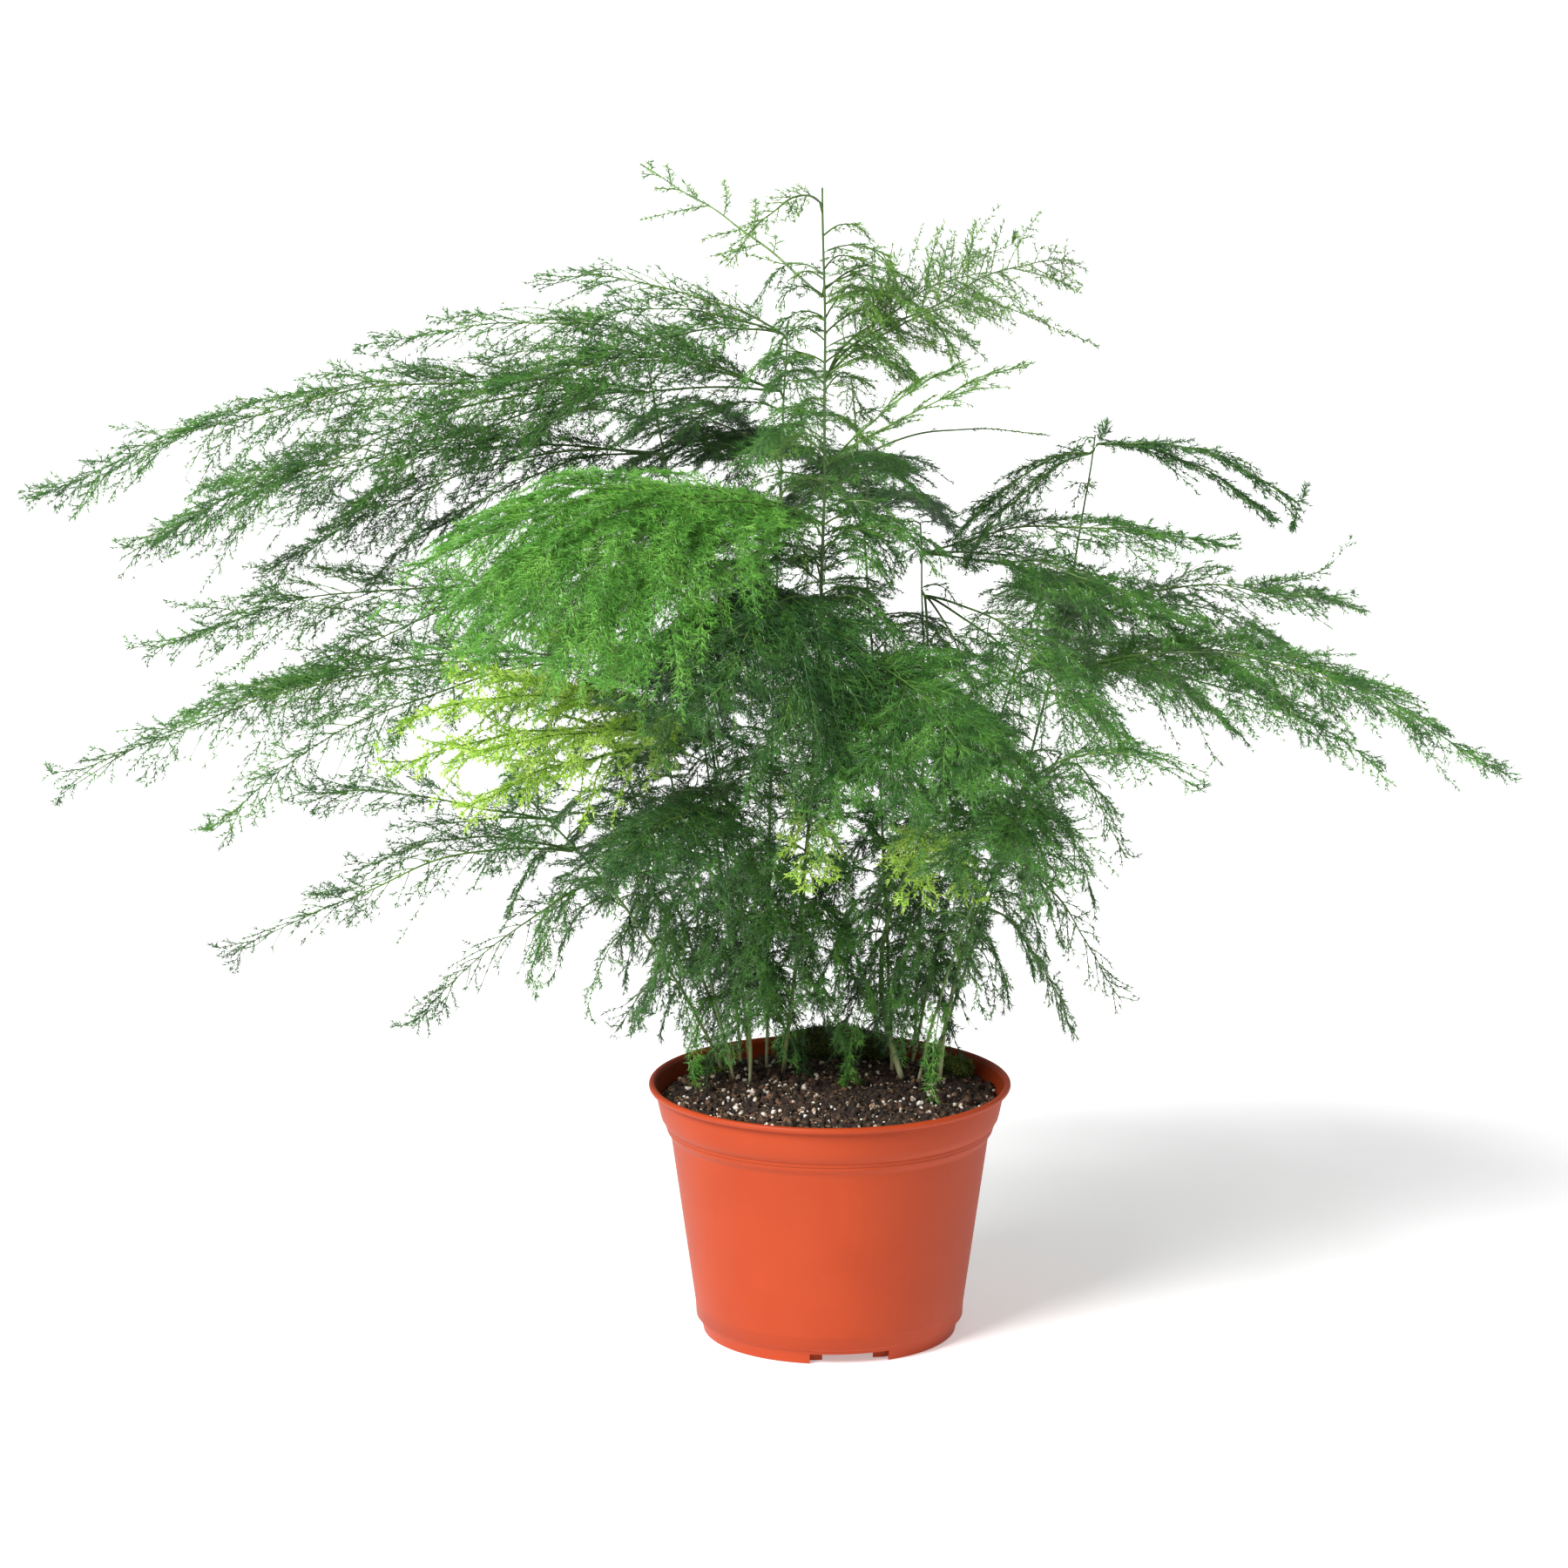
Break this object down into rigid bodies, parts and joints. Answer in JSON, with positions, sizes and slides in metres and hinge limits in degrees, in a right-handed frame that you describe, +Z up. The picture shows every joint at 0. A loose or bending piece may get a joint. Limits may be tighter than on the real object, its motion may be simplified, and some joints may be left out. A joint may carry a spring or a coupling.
{
  "type": "potted asparagus fern",
  "caption": "Feathery asparagus fern with wiry canes and flat, arching fronds, growing in a round plastic nursery pot of potting mix.",
  "frame": {"origin": "middle of the whole plant's footprint, on the surface that the pot stands on; the pot's axis stands 24.5 mm to +X and 23.0 mm to -Y of it", "axes": "+Z up, +X to the right of someone who faces the plant's front, +Y away from them"},
  "size_m": [0.6224, 0.364, 0.5035],
  "materials": {
    "pot": "satin moulded terracotta-orange plastic",
    "potting_mix": "damp dark peat and bark with white perlite grains",
    "moss": "low matt olive-green cushions",
    "cane": "smooth wiry green cane, paler at the foot",
    "frond": "fine matt needles with small glints",
    "young_frond": "soft lime-green new needles"
  },
  "bodies": {
    "root": {"pot": "pot", "potting_mix": "potting_mix", "moss_back": "moss", "moss_left": "moss", "moss_right": "moss", "cane_main": "cane", "cane_left_1": "cane", "cane_left_2": "cane", "cane_left_3": "cane", "cane_left_4": "cane", "cane_left_5": "cane", "cane_left_6": "cane", "cane_left_7": "cane", "cane_right_1": "cane", "cane_right_2": "cane", "cane_right_3": "cane", "cane_right_4": "cane", "cane_right_5": "cane", "cane_right_6": "cane", "cane_right_7": "cane", "frond_top_left": "frond", "frond_top_hook": "frond", "frond_top_right": "frond", "frond_top_low": "frond", "frond_whip": "frond", "frond_upper_left_1": "frond", "frond_upper_left_2": "frond", "frond_upper_left_3": "frond", "frond_upper_left_4": "frond", "frond_upper_back": "frond", "frond_left_1": "frond", "frond_left_2": "frond", "frond_left_low_1": "frond", "frond_left_low_2": "frond", "frond_left_low_3": "frond", "frond_left_low_4": "frond", "frond_young_left": "young_frond", "frond_young_spike": "young_frond", "frond_bright_1": "frond", "frond_bright_2": "frond", "frond_middle_1": "frond", "frond_middle_2": "frond", "frond_middle_3": "frond", "frond_middle_4": "frond", "frond_front_left": "frond", "frond_young_right": "young_frond", "frond_young_middle": "young_frond", "frond_right_arch_1": "frond", "frond_right_arch_2": "frond", "frond_right_flat": "frond", "frond_right_1": "frond", "frond_right_2": "frond", "frond_right_3": "frond", "frond_right_low_1": "frond", "frond_right_low_2": "frond", "frond_back_1": "frond", "frond_back_2": "frond", "frond_back_3": "frond", "frond_back_4": "frond", "frond_back_5": "frond"}
  },
  "joints": []
}
